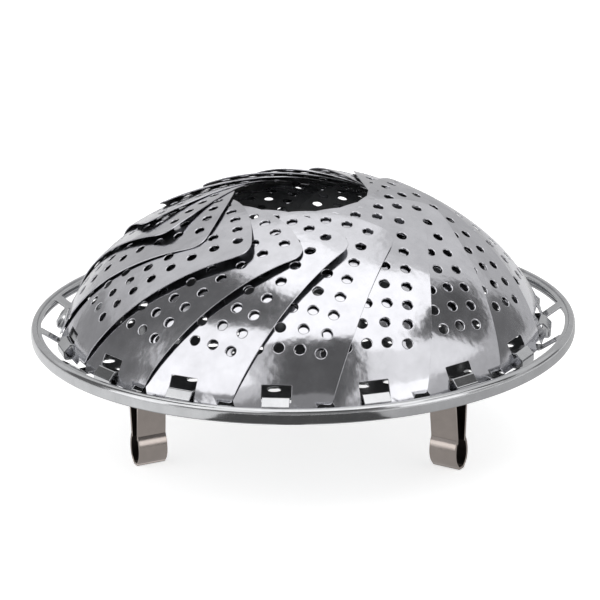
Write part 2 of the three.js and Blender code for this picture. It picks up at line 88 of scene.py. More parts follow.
HOLE_RADIUS = 1.25
HOLE_ROLL = 0.3
HOLE_SIDES = 18
HOLE_ROWS = 8
FIRST_ROW_HOLES = 5
FIRST_ROW_UP = 14.4
FIRST_ROW_REACH = 10.1
ROW_REACH_GROWTH = 1.2
ROW_PITCH = 5.2
ROW_PITCH_GROWTH = 0.1
ROW_SAG = 0.0105
EDGE_ROUND = 0.1

# Petals of a loose basket don't all lie alike: sway as a slope, bends in millimetres at the shoulder
SWAY = {1: 0.01, 16: 0.02, 15: 0.075, 14: 0.1, 13: 0.07, 12: 0.12, 11: 0.18, 10: 0.14, 9: 0.08, 8: 0.04}
EXTRA_LIFT = {
    16: 0.2, 15: -0.55, 14: 1.2, 13: -0.8, 12: 0.9, 11: 0.9, 10: 0.4,
    9: -0.2, 8: -0.35, 7: -0.35, 6: -0.35, 5: -0.3, 4: -0.2}
FLANK_LIFT = {16: 1.8, 15: 2.0, 14: 0.7}

# Base plate
RIM_INSET = 0.14
BEAD_DEPTH = 3.9
BEAD_WIDTH = 2.1
FLANGE_DROP = 0.45
SLOT_INNER_RADIUS = 60.2
RISE_START_RADIUS = 62.7
RISE_END_RADIUS = 67.0
SLOT_OUTER_RADIUS = 67.3
SLOT_CORNER = 0.3
SPOKE_WIDTH = 3.8
SPOKE_OFFSET = 12.3
TONGUE_ROOT = 0.3
TONGUE_BEND = 0.75
TONGUE_FOLD = 0.4
TONGUE_ELBOW = 0.3
TONGUE_CREASE = -0.1
TONGUE_END_DROP = 0.1
TONGUE_EDGE_ROUND = 0.12
RIM_STEPS = 320
BASE_HOLE_RADIUS = 1.6
BASE_HOLE_SIDES = 20
BASE_HOLE_RINGS = (10.0, 18.0, 26.0, 34.0, 46.3, 54.0)
BASE_HOLE_SPACING = 7.2

# Profile of the rolled rim as (out, up): its groove from the flange's end, and its bead and curl from
# where the outside meets the top and the bottom
GROOVE_OFFSETS = ((0, 0), (0.25, -0.02), (0.5, -0.16), (0.75, 0.1))
BEAD_OFFSETS = ((-1.05, 0), (-0.35, -0.28), (-0.03, -1.0))
CURL_OFFSETS = ((0, 0.75), (-0.22, 0.2), (-0.6, 0), (-1.0, 0.15), (-1.2, 0.5))
CURL_END_SHARE = 0.6

# Legs; the offsets are (sideways, up), from the top of the bulb and from the top of the far arm
LEG_RADIUS = 44.0
LEG_WIDTH = 7.8
LEG_EDGE_ROUND = 0.16
EYE_START = -55
EYE_END = 180
FOOT_HALF_FLAT = 0.8
BULB_LOW_ANGLES = (-58, -38, -18)
BULB_HALF_WIDTH = 2.75
BULB_MIDDLE = 4.3
BULB_RISE = 5.0
NECK_HALF_WIDTH = 1.8
ARM_TOP_HALF_WIDTH = 3.4
NECK_OFFSETS = ((0, 0.15), (0.02, 0.6))
STOP_OFFSETS = ((0, -1), (0.35, -0.3), (1, 0), (2.2, 0))
PIN_RADIUS = 0.9
LUG_THICKNESS = 0.8
LUG_HALF_WIDTH = 2.4
LUG_SIDE_GAP = 0.4
LUG_TOP_DROP = 0.05
LUG_HOLE_SIDES = 16
LUG_FILL_UP = 1.9

# Spacing of the points that fill the blanks, how far they keep from the edges, and how they are joined
PETAL_GRID = 2.2
PETAL_GRID_REACH = 27
PETAL_GRID_TOP = 60
PLATE_GRID = 3.5
PLATE_GRID_REACH = 60
PLATE_GRID_MARGIN = 1.5
SPOKE_GRID = 0.45
SPOKE_GRID_START = 0.4
SPOKE_GRID_END = 0.1
SPOKE_GRID_ACROSS = (-1.0, 0.0, 1.0)
OUTLINE_STEP = 1.2
SLOT_STEP = 0.8
EDGE_CLEARANCE = 0.9
HOLE_CLEARANCE = 0.7
TRIANGLES_INSIDE = 1
MERGE_DISTANCE = 1e-5

# Points along the curves, and steps for each rounded corner and each span of a smooth path
ARCH_POINTS = 61
ARCH_CORNER_POINTS = 6
SLOT_ARC_POINTS = 17
LUG_ARC_POINTS = 17
EYE_POINTS = 9
BULB_POINTS = 5
FAN_POINTS = 49
SHOULDER_STEPS = 10
HEEL_STEPS = 6
CORNER_STEPS = 4
SMALL_CORNER_STEPS = 3
RIM_SPAN_STEPS = 5
LEG_SPAN_STEPS = 8

# Rings that join a blank's two faces: angle of the normal, share of the reach, share of half the sheet
PLAIN_RINGS = ((45, 0.7, 0.7), (90, 1.0, 0.0), (135, 0.7, -0.7))
ROLLED_RINGS = ((45, 0.7, 0.5), (90, 1.0, -0.3), (90, 1.0, -0.95))

# Surface patterns: size of the smudges and depth of the polishing lines in millimetres, how many times
# longer than wide a line is, and how far smudges change roughness and shade. Real lines are closer than
# a tenth of a millimetre; the materials space them wider, so that they show in the render
SMUDGE = 6.0
SMUDGE_RANGE = (0.3, 0.7)
SMUDGE_ROUGHNESS = (0.8, 1.25)
SMUDGE_SHADE = (0.86, 1.0)
LINE_DEPTH = 0.02
LINE_STRETCH = 50

# Studio: width of the floor in metres, its own glow for the camera, and the world's light on matt things
FLOOR_WIDTH = 8
FLOOR_GLOW = 0.62
WORLD_LIGHT = 0.55

# Camera: as far off and as high as the photograph was taken, with its small roll; clips in metres
CAMERA_DISTANCE = 840.0
CAMERA_ELEVATION = 18.91
CAMERA_ROLL = -0.975
CAMERA_AIM_SIDEWAYS = -0.65
CAMERA_AIM_UP = 3.89
CAMERA_LENS = 195.9
SENSOR_WIDTH = 36
NEAR_CLIP = 0.01
FAR_CLIP = 20

# Worked out from the sizes above
PETAL_PITCH = 2 * math.pi / PETAL_COUNT
HINGE_Z = RIM_HEIGHT - HINGE_DROP
HINGE_LATITUDE = math.asin((DOME_CENTRE_DROP - HINGE_DROP) / DOME_RADIUS)
HINGE_RADIUS = DOME_RADIUS * math.cos(HINGE_LATITUDE)
HINGE_SLOPE = math.radians(HINGE_LEAN_ANGLE)
KNEE_SLOPE = math.radians(KNEE_LEAN_ANGLE)
KNEE_UP = LOWER_ARC_RADIUS * (KNEE_SLOPE - HINGE_SLOPE)
LOWER_ARC_OFFSET = HINGE_RADIUS - LOWER_ARC_RADIUS * math.cos(HINGE_SLOPE)
LOWER_ARC_Z = HINGE_Z - LOWER_ARC_RADIUS * math.sin(HINGE_SLOPE)
UPPER_ARC_OFFSET = LOWER_ARC_OFFSET + (LOWER_ARC_RADIUS - UPPER_ARC_RADIUS) * math.cos(KNEE_SLOPE)
UPPER_ARC_Z = LOWER_ARC_Z + (LOWER_ARC_RADIUS - UPPER_ARC_RADIUS) * math.sin(KNEE_SLOPE)
MOUTH_SLOPE = math.acos((MOUTH_RADIUS - UPPER_ARC_OFFSET) / UPPER_ARC_RADIUS)
TIP_UP = KNEE_UP + UPPER_ARC_RADIUS * (MOUTH_SLOPE - KNEE_SLOPE)
CURL_RADIUS = STRIP_HALF_HEIGHT + CURL_GAP + BASE_SHEET / 2
DISC_Z = HINGE_Z - CURL_RADIUS
DISC_UNDERSIDE = DISC_Z - BASE_SHEET / 2
FLANGE_Z = RIM_HEIGHT - FLANGE_DROP - BASE_SHEET / 2
FLANGE_END_RADIUS = RIM_RADIUS - RIM_INSET - BEAD_WIDTH
TONGUE_WIDTH = WINDOW_WIDTH - 2 * RUNNING_GAP
EYE_RADIUS = PIN_RADIUS + RUNNING_GAP + LEG_SHEET / 2
PIN_Z = DISC_UNDERSIDE - RUNNING_GAP - EYE_RADIUS - LEG_SHEET / 2
PIN_SIDE = EYE_RADIUS - ARM_TOP_HALF_WIDTH
LUG_OFFSET = LEG_WIDTH / 2 + LUG_SIDE_GAP + LUG_THICKNESS / 2


# Array helpers
def unit(vectors):
    """Each row divided by its own length."""
    return vectors / np.linalg.norm(vectors, axis=-1, keepdims=True)


def arc_points(centre, radius, degrees):
    """Points round a centre at the given angles, anticlockwise from the right."""
    angle = np.radians(degrees)
    return np.stack([centre[0] + radius * np.cos(angle), centre[1] + radius * np.sin(angle)], axis=-1)


def circle(radius, sides, centre=(0.0, 0.0)):
    """Points at equal angles round a centre, anticlockwise."""
    return arc_points(centre, radius, 360 * np.arange(sides) / sides)


def signed_area(loop):
    """Half the sum of the cross products of neighbouring points: positive for an anticlockwise loop."""
    following = np.roll(loop, -1, axis=0)
    return 0.5 * np.sum(loop[:, 0] * following[:, 1] - loop[:, 1] * following[:, 0])


def rounded_corner(before, corner, after, radius, steps):
    """A corner of a polygon as points of a curve that touches both sides where an arc would.

    The points are (1 - t)^2 first + 2 t (1 - t) corner + t^2 last, for t from 0 to 1."""
    before, corner, after = np.array(before), np.array(corner), np.array(after)
    back, ahead = unit(before - corner), unit(after - corner)
    half = 0.5 * math.acos(np.clip(np.dot(back, ahead), -1, 1))
    reach = radius / math.tan(half)
    share = np.linspace(0, 1, steps + 1)[:, None]
    first, last = corner + back * reach, corner + ahead * reach
    return (1 - share) ** 2 * first + 2 * share * (1 - share) * corner + share ** 2 * last


def rounded_box(box, radius, steps):
    """The four rounded corners of a box, each as points, in the box's own order."""
    return [rounded_corner(box[i - 1], box[i], box[(i + 1) % 4], radius, steps) for i in range(4)]


def stepped(loop, step):
    """A closed loop with points added on its long sides, no further apart than the step."""
    following = np.roll(loop, -1, axis=0)
    counts = np.maximum(np.ceil(np.linalg.norm(following - loop, axis=1) / step).astype(int), 1)
    return np.concatenate([
        a + (b - a) * np.arange(n)[:, None] / n for a, b, n in zip(loop, following, counts)])


def inside(points, loop):
    """True where a ray to the right of a point crosses the loop an odd number of times."""
    a, b = loop, np.roll(loop, -1, axis=0)
    x, y = points[:, :1], points[:, 1:]
    spans = (a[:, 1] > y) != (b[:, 1] > y)
    rise = np.where(b[:, 1] == a[:, 1], 1.0, b[:, 1] - a[:, 1])
    crossing = a[:, 0] + (y - a[:, 1]) * (b[:, 0] - a[:, 0]) / rise
    return np.sum(spans & (x < crossing), axis=1) % 2 == 1


def clear_of(points, others, distance):
    """True where a point is further than the distance from every other point."""
    gaps = np.linalg.norm(points[:, None, :] - others[None, :, :], axis=2)
    return gaps.min(axis=1) > distance


def smooth_path(corners, steps):
    """A curve through the corners: on each span, a cubic whose end slopes follow the neighbours."""
    corners = np.array(corners, float)
    padded = np.vstack([2 * corners[0] - corners[1], corners, 2 * corners[-1] - corners[-2]])
    share = np.linspace(0, 1, steps, endpoint=False)[None, :, None]
    p0, p1, p2, p3 = (padded[i:len(padded) - 3 + i, None, :] for i in range(4))
    curve = 0.5 * (2 * p1 + (p2 - p0) * share + (2 * p0 - 5 * p1 + 4 * p2 - p3) * share ** 2
                   + (3 * p1 - p0 - 3 * p2 + p3) * share ** 3)
    return np.vstack([curve.reshape(-1, 2), corners[-1:]])


def to_azimuth(azimuth, radial, sideways, up):
    """Radial, sideways and up parts turned to an azimuth, which is counted from the front."""
    sine, cosine = math.sin(azimuth), math.cos(azimuth)
    return np.stack([radial * sine + sideways * cosine, sideways * sine - radial * cosine, up], axis=-1)


# Meshes
class Shell:
    """Points, normals, flat coordinates and faces that make up one mesh."""

    def __init__(self):
        self.points, self.normals, self.flat, self.faces, self.sides = [], [], [], [], []
        self.count = 0

    def add(self, points, normals, faces, flat=None, sides=None):
        """Adds points and the parts of faces between them; each part's side is its material's number."""
        self.points.append(points)
        self.normals.append(normals)
        self.flat.append(points[:, :2] if flat is None else flat)
        self.faces.extend(np.asarray(part) + self.count for part in faces)
        self.sides.extend(sides or [0] * len(faces))
        self.count += len(points)

    def mesh(self, name):
        """The shell as a mesh in metres, each face turned to agree with its corners' normals."""
        points, normals = np.concatenate(self.points), unit(np.concatenate(self.normals))
        listed = []
        for part in self.faces:
            corner = points[part]
            facing = np.cross(corner[:, 1] - corner[:, 0], corner[:, 2] - corner[:, 0])
            against = np.sum(facing * normals[part].sum(axis=1), axis=1) < 0
            listed.extend(np.where(against[:, None], part[:, ::-1], part).tolist())
        mesh = bpy.data.meshes.new(name)
        mesh.from_pydata((points * MM).tolist(), [], listed)
        corners = np.zeros(len(mesh.loops), int)
        mesh.loops.foreach_get("vertex_index", corners)
        layer = mesh.uv_layers.new(name="sheet")
        layer.data.foreach_set("uv", (np.concatenate(self.flat) * MM)[corners].ravel())
        mesh.polygons.foreach_set("use_smooth", np.ones(len(mesh.polygons), bool))
        counts = [len(part) for part in self.faces]
        mesh.polygons.foreach_set("material_index", np.repeat(self.sides, counts))
        mesh.normals_split_custom_set_from_vertices(normals.tolist())
        mesh.update()
        return mesh


def placed(name, shell, *materials):
    """A new object at the origin that shows the shell, its upper side and edges in the first material."""
    piece = bpy.data.objects.new(name, shell.mesh(name))
    for material in materials:
        piece.data.materials.append(material)
    bpy.context.scene.collection.objects.link(piece)
    return piece


def quads(rows, columns, closed):
    """Faces of a grid of points, row by row; a closed grid joins its last column to its first."""
    row = np.arange(rows - 1)[:, None] * columns
    column = np.arange(columns if closed else columns - 1)[None, :]
    following = (column + 1) % columns
    corners = [row + column, row + following, row + columns + following, row + columns + column]
    return np.stack(corners, axis=-1).reshape(-1, 4)


def slopes(surface, x, y, step=0.02):
    """Unit normal of a surface of two parameters, and the two directions across and along it."""
    across = surface(x + step, y) - surface(x - step, y)
    along = surface(x, y + step) - surface(x, y - step)
    normal = unit(np.cross(across, along))
    across = unit(across)
    return normal, across, np.cross(normal, across)


class Blank:
    """A flat punched blank with its thickness, before it is pressed.

    Both faces are one triangulation of the outline, the cut-outs and the round holes. Every edge is
    joined by three rings of points, whose normals lean out by the sine and stand up by the cosine of
    the ring's angle; a hole's rings roll in at the top and drop straight. An open edge leaves the
    outline without rings, for a rim to go on from there."""

    def __init__(self, sheet, outline, cutouts, centres, hole_radius, sides, fill, open_edge=False):
        half = sheet / 2
        rims = [circle(hole_radius + HOLE_ROLL, sides, centre)[::-1] for centre in centres]
        loops = [outline if signed_area(outline) > 0 else outline[::-1]]
        loops += [cut if signed_area(cut) < 0 else cut[::-1] for cut in cutouts]
        loops += rims
        given = np.concatenate(loops + [fill])
        starts = np.cumsum([0] + [len(loop) for loop in loops])
        ranges = [np.arange(a, b) for a, b in zip(starts[:-1], starts[1:])]
        edges = np.concatenate([np.stack([part, np.roll(part, -1)], axis=1) for part in ranges])
        found, _, triangles, origins, _, _ = delaunay_2d_cdt(
            [Vector(point) for point in given.tolist()], edges.tolist(), [],
            TRIANGLES_INSIDE, MERGE_DISTANCE)
        flat = np.array([list(point) for point in found])
        triangles = np.array(triangles)
        middle = flat[triangles].mean(axis=1)
        kept = inside(middle, loops[0])
        for cut in loops[1:]:
            kept &= ~inside(middle, cut)
        triangles = triangles[kept]
        place = np.zeros(len(given), int)
        for index, origin in enumerate(origins):
            place[origin] = index
        count = len(flat)
        self.faces = [triangles, triangles[:, ::-1] + count]
        self.sides = [0, 1]
        self.flat = [flat, flat]
        self.height = [np.full(count, half), np.full(count, -half)]
        self.lean = [np.zeros((count, 2)), np.zeros((count, 2))]
        self.stand = [np.ones(count), -np.ones(count)]
        total = 2 * count
        for number, part in enumerate(ranges):
            if number == 0 and open_edge:
                continue
            is_hole = number > len(cutouts)
            reach = HOLE_ROLL if is_hole else EDGE_ROUND
            loop = place[part]
            along = unit(np.roll(flat[loop], -1, axis=0) - np.roll(flat[loop], 1, axis=0))
            out = np.stack([along[:, 1], -along[:, 0]], axis=1)
            rings = [loop]
            for angle, share, level in (ROLLED_RINGS if is_hole else PLAIN_RINGS):
                self.flat.append(flat[loop] + out * reach * share)
                self.height.append(np.full(len(loop), half * level))
                self.lean.append(out * math.sin(math.radians(angle)))
                self.stand.append(np.full(len(loop), math.cos(math.radians(angle))))
                rings.append(total + np.arange(len(loop)))
                total += len(loop)
            rings.append(loop + count)
            for upper, lower in zip(rings[:-1], rings[1:]):
                self.faces.append(np.stack(
                    [upper, lower, np.roll(lower, -1), np.roll(upper, -1)], axis=1))
            self.sides += [0, 0, 0, 1]
        self.flat = np.concatenate(self.flat)
        self.height = np.concatenate(self.height)[:, None]
        self.lean = np.concatenate(self.lean)
        self.stand = np.concatenate(self.stand)[:, None]

    def press(self, shell, surface, flatter=1.0, middle=0.0):
        """Adds the blank to a shell, pressed on to a surface of two parameters.

        A point is the surface's point plus its height times the surface's normal, which is the cross
        product of the surface's two slopes. Shading takes the normal of a flatter sheet, which turns
        by only a share of the angle as the place moves across from the middle."""
        x, y = self.flat.T
        normal, _, _ = slopes(surface, x, y)
        shown, across, along = slopes(surface, middle + flatter * (x - middle), y)
        leaning = self.lean[:, :1] * across + self.lean[:, 1:] * along
        shell.add(surface(x, y) + normal * self.height, shown * self.stand + leaning,
                  self.faces, self.flat, self.sides)


def carried_strip(path, width, thickness, corner):
    """A flat bar with rounded corners carried along a path in a plane.

    The section is a rectangle whose four corners are quarter circles. Each section point stands off
    the path by its height along the path's normal and off the plane by its place across the width.
    The two ends are closed by a fan of faces. Gives points and normals, each as two parts in the plane
    and one across it, and groups of faces: the broad side on the path's left, the rest of the skin,
    and the two ends."""
    turn = np.radians(np.array([[0, 30, 60, 90]]) + np.array([[0], [90], [180], [270]]))
    sign = np.array([[1, 1], [-1, 1], [-1, -1], [1, -1]])
    across = (sign[:, :1] * (width / 2 - corner) + corner * np.cos(turn)).ravel()
    height = (sign[:, 1:] * (thickness / 2 - corner) + corner * np.sin(turn)).ravel()
    facing = np.stack([np.cos(turn).ravel(), np.sin(turn).ravel()], axis=1)
    along = unit(np.gradient(path, axis=0))
    side = np.stack([-along[:, 1], along[:, 0]], axis=1)
    plane = path[:, None, :] + side[:, None, :] * height[None, :, None]
    wide = np.broadcast_to(across, plane.shape[:2])
    plane_normal = side[:, None, :] * facing[None, :, 1, None]
    wide_normal = np.broadcast_to(facing[:, 0], plane.shape[:2])
    count = len(across)
    parts = [np.concatenate([plane.reshape(-1, 2), wide.reshape(-1, 1)], axis=1)]
    normals = [np.concatenate([plane_normal.reshape(-1, 2), wide_normal.reshape(-1, 1)], axis=1)]
    skin = quads(len(path), count, True)
    left = np.arange(len(skin)) % count == turn.shape[1] - 1
    faces = [skin[left], skin[~left]]
    total = len(path) * count
    for end, sense in ((0, -1), (len(path) - 1, 1)):
        ring = np.concatenate([plane[end], across[:, None]], axis=1)
        middle = np.array([[path[end, 0], path[end, 1], 0.0]])
        outward = np.array([[along[end, 0] * sense, along[end, 1] * sense, 0.0]])
        parts += [ring, middle]
        normals.append(np.repeat(outward, count + 1, axis=0))
        rim = np.arange(count)
        faces.append(total + np.stack([rim, np.roll(rim, -1), np.full(count, count)], axis=1))
        total += count + 1
    return np.concatenate(parts), np.concatenate(normals), faces


# Materials
def srgb(text):
    """An sRGB hex colour as linear red, green, blue and alpha."""
    parts = [int(text[i:i + 2], 16) / 255 for i in (1, 3, 5)]
    linear = [part / 12.92 if part <= 0.04045 else ((part + 0.055) / 1.055) ** 2.4 for part in parts]
    return (*linear, 1.0)


def add_node(tree, kind, inputs=None, **settings):
    """Adds one node with its settings; an input is a value, or another node's output to link."""
    made = tree.nodes.new(kind)
    for name, value in settings.items():
        setattr(made, name, value)
    for name, value in (inputs or {}).items():
        if isinstance(value, bpy.types.NodeSocket):
            tree.links.new(value, made.inputs[name])
        else:
            made.inputs[name].default_value = value
    return made


def empty_tree(owner):
    """The cleared node tree of a new material or world."""
    owner.use_nodes = True
    owner.node_tree.nodes.clear()
    return owner.node_tree


def noise(tree, place, scale, detail, roughness):
    """A noise pattern over the places; detail adds finer layers, each weaker by the roughness."""
    made = add_node(tree, "ShaderNodeTexNoise", {
        "Vector": place, "Scale": scale, "Detail": detail, "Roughness": roughness})
    return made.outputs["Fac"]


def smudged(tree, smudge, low, high):
    """A value from low to high over the middle range of the smudge pattern."""
    made = add_node(tree, "ShaderNodeMapRange", {
        "Value": smudge, "From Min": SMUDGE_RANGE[0], "From Max": SMUDGE_RANGE[1],
        "To Min": low, "To Max": high})
    return made.outputs["Result"]


def steel_sheet(name, colour, roughness, wave, wave_height, line, line_strength, edge="#ffffff"):
    """Stainless steel: a metal with a soft wave from pressing, faint lines left along the sheet by
    rolling or polishing, and a shade and roughness that vary like wiped fingermarks.

    Wave and line are sizes in millimetres. The edge colour is what it mirrors at a low angle; a dark edge
    colour paints shade there."""
    material = bpy.data.materials.new(name)
    tree = empty_tree(material)
    place = add_node(tree, "ShaderNodeTexCoord")
    dents = noise(tree, place.outputs["Object"], 1 / (wave * MM), detail=4.0, roughness=0.5)
    stretch = add_node(tree, "ShaderNodeMapping", {
        "Vector": place.outputs["UV"],
        "Scale": (1 / (line * MM), 1 / (LINE_STRETCH * line * MM), 1.0)})
    lines = noise(tree, stretch.outputs["Vector"], 1.0, detail=3.0, roughness=0.6)
    smudge = noise(tree, place.outputs["Object"], 1 / (SMUDGE * MM), detail=4.0, roughness=0.6)
    rough = smudged(tree, smudge, *(share * roughness for share in SMUDGE_ROUGHNESS))
    tint = add_node(tree, "ShaderNodeHueSaturation", {
        "Color": srgb(colour), "Value": smudged(tree, smudge, *SMUDGE_SHADE)})
    dented = add_node(tree, "ShaderNodeBump", {
        "Height": dents, "Distance": wave_height * MM, "Strength": 1.0})
    polish = add_node(tree, "ShaderNodeBump", {
        "Height": lines, "Distance": LINE_DEPTH * MM, "Strength": line_strength,
        "Normal": dented.outputs["Normal"]})
    shader = add_node(tree, "ShaderNodeBsdfPrincipled", {
        "Base Color": tint.outputs["Color"], "Metallic": 1.0, "Roughness": rough,
        "Specular Tint": srgb(edge), "Normal": polish.outputs["Normal"]})
    add_node(tree, "ShaderNodeOutputMaterial", {"Surface": shader.outputs["BSDF"]})
    return material


# Outside of the petals, wheel polished: a clear mirror that the pressing left slightly wavy
PETAL_STEEL = steel_sheet(
    "mirror_polished_stainless_sheet", "#dcdce1", roughness=0.12,
    wave=18, wave_height=0.3, line=0.5, line_strength=0.12)
# Inside of the petals, as rolled: a soft grey satin shine. Its darker colour paints the shade inside the
# basket, and a dark edge colour paints it darker at a low angle
INNER_STEEL_PAINTED_SHADE = steel_sheet(
    "satin_stainless_inside_painted_shade", "#8c8d8f", roughness=0.38,
    wave=22, wave_height=0.25, line=0.5, line_strength=0.25, edge="#303030")
# Base plate, bright rolled: as clear as the petals but flatter and a shade greyer
PLATE_STEEL = steel_sheet(
    "bright_rolled_stainless_sheet", "#d2d3d5", roughness=0.12,
    wave=18, wave_height=0.12, line=0.4, line_strength=0.1)
# Outside of the legs, rolled strip: a slightly warm grey with soft-edged reflections
LEG_STEEL = steel_sheet(
    "satin_stainless_strip", "#c4bab4", roughness=0.17,
    wave=14, wave_height=0.08, line=0.35, line_strength=0.05)
# Inside of the legs, the strip's unpolished side: dull, with a dark colour and a dark edge colour that
# paint the hairpin's own shade
LEG_INSIDE_PAINTED_SHADE = steel_sheet(
    "dull_stainless_strip_inside_painted_shade", "#4c4643", roughness=0.4,
    wave=14, wave_height=0.08, line=0.35, line_strength=0.05, edge="#303030")
# Leg pins, turned from rod: a plain grey shine
PIN_STEEL = steel_sheet(
    "turned_stainless_pin", "#b4b4b6", roughness=0.28,
    wave=6, wave_height=0.02, line=0.2, line_strength=0.1)


# Petals
def petal_outline():
    """Outline of the blank as (sideways, up): strip, notch, flanks, round shoulders, arched tip."""
    strip_end = LEADING_FOOT - NOTCH
    low, high = -STRIP_HALF_HEIGHT + EDGE_ROUND, STRIP_HALF_HEIGHT
    shoulder = SHOULDER_HALF_WIDTH - EDGE_ROUND
    side = np.linspace(shoulder, -shoulder, ARCH_POINTS)
    tip = TIP_UP - EDGE_ROUND - (TIP_EDGE_RADIUS - np.sqrt(TIP_EDGE_RADIUS ** 2 - side ** 2))
    arch = np.stack([side, tip], axis=1)
    foot_right, foot_left = (LEADING_FOOT, high), (-TRAILING_FOOT, high)
    right, left = (shoulder, tip[0]), (-shoulder, tip[-1])
    inner = arch[np.abs(side) < shoulder - SHOULDER_REACH * SHOULDER_ROUND]
    next_right, next_left = arch[ARCH_CORNER_POINTS], arch[-1 - ARCH_CORNER_POINTS]
    strip_right = (strip_end - STRIP_END_SLOPE, low)
    loop = np.concatenate([
        [(-TRAILING_FOOT + STRIP_END_SLOPE, low), strip_right],
        rounded_corner(strip_right, (strip_end, high), foot_right, NOTCH_ROUND, SMALL_CORNER_STEPS),
        rounded_corner((strip_end, high), foot_right, right, FOOT_ROUND, SMALL_CORNER_STEPS),
        rounded_corner(foot_right, right, next_right, SHOULDER_ROUND, SHOULDER_STEPS),
        inner,
        rounded_corner(next_left, left, foot_left, SHOULDER_ROUND, SHOULDER_STEPS),
        [foot_left],
    ])
    return stepped(loop, OUTLINE_STEP)


def petal_hole_centres():
    """Rows that sag towards their ends with the square of the side, one hole more after every two."""
    rows = []
    for row in range(HOLE_ROWS):
        reach = FIRST_ROW_REACH + ROW_REACH_GROWTH * row
        side = np.linspace(reach, -reach, FIRST_ROW_HOLES + row // 2)
        middle = FIRST_ROW_UP + ROW_PITCH * row + ROW_PITCH_GROWTH * row ** 2
        rows.append(np.stack([side, middle - ROW_SAG * side ** 2], axis=1))
    return np.concatenate(rows)


def petal_blank():
    """The punched blank that all petals are pressed from, as (sideways, up)."""
    outline = petal_outline()
    centres = petal_hole_centres()
    half = WINDOW_WIDTH / 2 + EDGE_ROUND
    low, high = STRIP_HALF_HEIGHT - EDGE_ROUND, WINDOW_TOP + EDGE_ROUND
    box = [(-half, low), (half, low), (half, high), (-half, high)]
    corners = rounded_box(box, WINDOW_CORNER, SMALL_CORNER_STEPS)
    window = stepped(np.concatenate(corners), OUTLINE_STEP)
    x, y = np.meshgrid(np.arange(-PETAL_GRID_REACH, PETAL_GRID_REACH, PETAL_GRID),
                       np.arange(0, PETAL_GRID_TOP, PETAL_GRID))
    fill = np.stack([x.ravel(), y.ravel()], axis=1)
    keep = inside(fill, outline) & ~inside(fill, window)
    keep &= clear_of(fill, outline, EDGE_CLEARANCE) & clear_of(fill, window, EDGE_CLEARANCE)
    keep &= clear_of(fill, centres, HOLE_RADIUS + HOLE_ROLL + HOLE_CLEARANCE)
    return Blank(PETAL_SHEET, outline, [window], centres, HOLE_RADIUS, HOLE_SIDES, fill[keep])


def dome_section(up):
    """Distance from the axis, height and slope of the normal, a given way up the dome's section.

    The section is an arc from the hinge to the knee and a wider arc from there, with one tangent at
    the knee; the slope grows by the way divided by the arc's radius."""
    lower = up <= KNEE_UP
    slope = np.where(
        lower, HINGE_SLOPE + up / LOWER_ARC_RADIUS, KNEE_SLOPE + (up - KNEE_UP) / UPPER_ARC_RADIUS)
    arc_radius = np.where(lower, LOWER_ARC_RADIUS, UPPER_ARC_RADIUS)
    radius = np.where(lower, LOWER_ARC_OFFSET, UPPER_ARC_OFFSET) + arc_radius * np.cos(slope)
    height = np.where(lower, LOWER_ARC_Z, UPPER_ARC_Z) + arc_radius * np.sin(slope)
    return radius, height, slope


def petal_surface(azimuth, sway, extra_lift, flank_lift):
    """The pressed petal: a patch of the dome, lifted on its leading side.

    Up and sideways are arcs on the sphere that the outline is laid out on. They give an azimuth and
    a way up the dome's own section. The height over the section grows sideways, so that each petal
    lies one layer over the next; the growth fades in above the hinge strip and settles towards the
    tip. Sway slides the sheet sideways along the dome in proportion to its way up from the window.
    Extra lift bends the leading side out, flank lift does so most about halfway up, and the dip bends
    the trailing side in, each with the square of its distance from the start of the bend."""
    def surface(side, up):
        latitude = HINGE_LATITUDE + up / DOME_RADIUS
        turn = (side + sway * np.maximum(up - WINDOW_TOP, 0)) / DOME_RADIUS
        around = np.arctan2(np.sin(turn), np.cos(turn) * np.cos(latitude))
        arc = DOME_RADIUS * (np.arcsin(np.cos(turn) * np.sin(latitude)) - HINGE_LATITUDE)
        radius, height, slope = dome_section(arc)
        distance, _, _ = dome_section(up)
        fade = 1 - np.exp(-np.maximum(up - LIFT_START, 0) / LIFT_LENGTH)
        rise = np.clip(up / TIP_UP, 0, 1)
        lift = fade * LAYER_STEP * (1 - TIP_SETTLE * rise ** 2) / (distance * PETAL_PITCH)
        leading, trailing = (
            rise * (np.maximum(sense * side - BEND_START, 0) / (SHOULDER_HALF_WIDTH - BEND_START)) ** 2
            for sense in (1, -1))
        over = lift * side + (extra_lift + 4 * flank_lift * (1 - rise)) * leading - TRAILING_DIP * trailing
        radius = radius + over * np.cos(slope)
        height = height + over * np.sin(slope)
        return to_azimuth(azimuth, radius * np.cos(around), radius * np.sin(around), height)
    return surface


blank = petal_blank()
for number in range(1, PETAL_COUNT + 1):
    name = f"petal_{number:02d}"
    azimuth = math.radians(FIRST_PETAL_AZIMUTH) + (number - 1) * PETAL_PITCH
    shell = Shell()
    surface = petal_surface(
        azimuth, SWAY.get(number, 0.0), EXTRA_LIFT.get(number, 0.0), FLANK_LIFT.get(number, 0.0))
    blank.press(shell, surface, FLATTER_ACROSS, FLATTER_MIDDLE)
    # The inner face takes the inside steel, whose dark colour is painted shade
    petal = placed(f"pressed_{name}", shell, PETAL_STEEL, INNER_STEEL_PAINTED_SHADE)
    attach(petal, name)
    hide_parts(name)


# Base plate
def plate_height(radius):
    """Height of the plate's middle sheet by radius: flat disc, even slope up, flat flange."""
    share = np.clip((radius - RISE_START_RADIUS) / (RISE_END_RADIUS - RISE_START_RADIUS), 0, 1)
    return DISC_Z + (FLANGE_Z - DISC_Z) * share


def plate_surface(x, y):
    """The plate over its plan: the height depends only on the distance from the middle."""
    return np.stack([x, y, plate_height(np.hypot(x, y))], axis=-1)


def plan(radius, azimuth):
    """A place on the plan by radius and azimuth from the front."""
    return np.stack([radius * np.sin(azimuth), -radius * np.cos(azimuth)], axis=-1)


